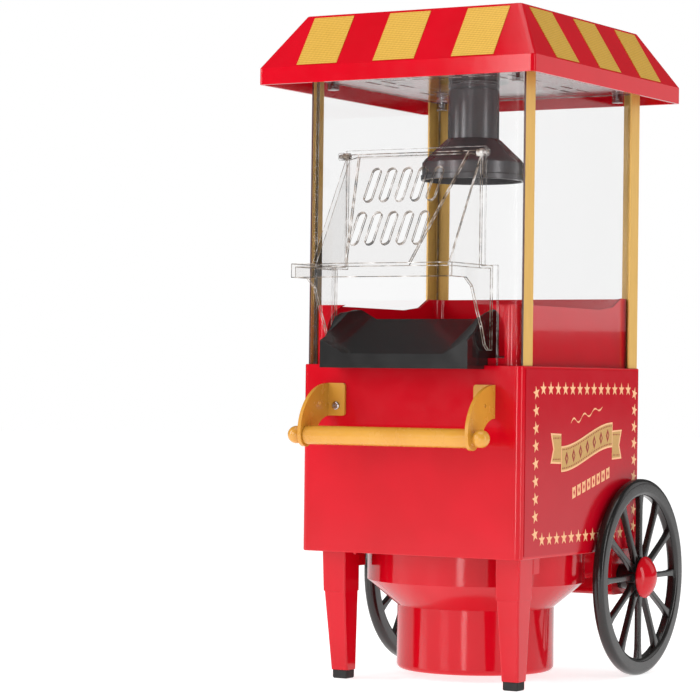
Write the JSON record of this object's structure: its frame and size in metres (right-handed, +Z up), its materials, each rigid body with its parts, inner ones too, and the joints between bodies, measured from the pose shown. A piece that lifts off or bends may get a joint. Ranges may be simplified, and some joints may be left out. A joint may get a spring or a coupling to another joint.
{
  "type": "popcorn maker",
  "caption": "Hot-air popcorn maker shaped as a carnival cart: windowed cabinet on a box body, lift-off hip roof, hinged clear hatch over a spout, push handle, tapered legs and spoked wheels.",
  "frame": {"origin": "centre of the bounding box at floor level, between the feet and the wheels", "axes": "+Z up, -Y towards the spout and handle at the front, +X to the right-hand side seen from the front"},
  "size_m": [0.2124, 0.3, 0.46],
  "materials": {
    "cart_red": "gloss",
    "label_red": "satin",
    "handle_gold": "satin",
    "trim_gold": "brushed",
    "clear_plastic": "gloss",
    "hood_grey": "satin",
    "cup_grey": "gloss",
    "spout_black": "gloss",
    "wheel_black": "satin",
    "foot_rubber": "matte",
    "gasket_rubber": "matte",
    "bright_steel": "polished",
    "duct_steel": "brushed",
    "chamber_aluminium": "satin",
    "heater_mica": "matte",
    "heater_wire": "satin",
    "board_green": "satin",
    "part_black": "satin",
    "motor_steel": "satin",
    "fan_white": "satin"
  },
  "bodies": {
    "root": {"air_duct": "duct_steel", "axle_beam": "cart_red", "axle_clips": "bright_steel", "axle_rod": "bright_steel", "base_pan": "cart_red", "basin": "cart_red", "board_diodes": "part_black", "bracket_screws": "bright_steel", "cart_body": "cart_red", "ceiling_plate": "clear_plastic", "ceiling_screws": "bright_steel", "chamber_gasket": "gasket_rubber", "circuit_board": "board_green", "cord_gland": "foot_rubber", "feed_collar": "hood_grey", "feed_tube": "hood_grey", "front_leg_left": "cart_red", "front_leg_right": "cart_red", "front_post_left": "trim_gold", "front_post_right": "trim_gold", "front_window": "clear_plastic", "handle_bar": "handle_gold", "handle_bracket_left": "handle_gold", "handle_bracket_right": "handle_gold", "handle_knob_left": "handle_gold", "handle_knob_right": "handle_gold", "heater_coil": "heater_wire", "heater_frame": "heater_mica", "hinge_pins": "bright_steel", "kettle_hood": "hood_grey", "motor": "motor_steel", "motor_housing": "cart_red", "motor_plate": "duct_steel", "motor_plate_screws": "bright_steel", "pan_screws": "bright_steel", "popping_chamber": "chamber_aluminium", "rear_post_left": "trim_gold", "rear_post_right": "trim_gold", "rear_window": "clear_plastic", "rubber_foot_left": "foot_rubber", "rubber_foot_right": "foot_rubber", "side_label_left": "label_red", "side_label_right": "label_red", "side_window_left": "clear_plastic", "side_window_right": "clear_plastic", "spout": "spout_black", "switch_housing": "part_black", "thermal_fuse": "part_black", "thermostat": "part_black"},
    "roof": {"roof_shell": "cart_red", "roof_stripes": "trim_gold"},
    "kernel_cup": {"kernel_cup": "cup_grey"},
    "front_hatch": {"front_hatch": "clear_plastic"},
    "wheel_left": {"wheel_left": "wheel_black", "hub_cap_left": "cart_red"},
    "wheel_right": {"wheel_right": "wheel_black", "hub_cap_right": "cart_red"},
    "fan": {"fan_wheel": "fan_white", "motor_shaft": "bright_steel"},
    "switch_rocker": {"switch_rocker": "part_black"}
  },
  "joints": [
    {"name": "roof_lift", "type": "slide", "parent": "root", "child": "roof", "axis": [0, 0, 1], "range_m": [0, 0.06]},
    {"name": "kernel_cup_lift", "type": "slide", "parent": "root", "child": "kernel_cup", "axis": [0, 0, 1], "range_m": [0, 0.018]},
    {"name": "hatch_hinge", "type": "hinge", "parent": "root", "child": "front_hatch", "pos_m": [0, -0.0941, 0.362], "axis": [-1, 0, 0], "range_deg": [0, 70]},
    {"name": "wheel_left_spin", "type": "hinge", "parent": "root", "child": "wheel_left", "pos_m": [-0.09175, 0.08, 0.07], "axis": [1, 0, 0], "continuous": true},
    {"name": "wheel_right_spin", "type": "hinge", "parent": "root", "child": "wheel_right", "pos_m": [0.09175, 0.08, 0.07], "axis": [1, 0, 0], "continuous": true},
    {"name": "fan_spin", "type": "hinge", "parent": "root", "child": "fan", "pos_m": [0, 0.005, 0.07], "axis": [0, 0, 1], "continuous": true},
    {"name": "switch_tip", "type": "hinge", "parent": "root", "child": "switch_rocker", "pos_m": [-0.048, 0.0917, 0.182], "axis": [1, 0, 0], "range_deg": [0, 14]}
  ]
}
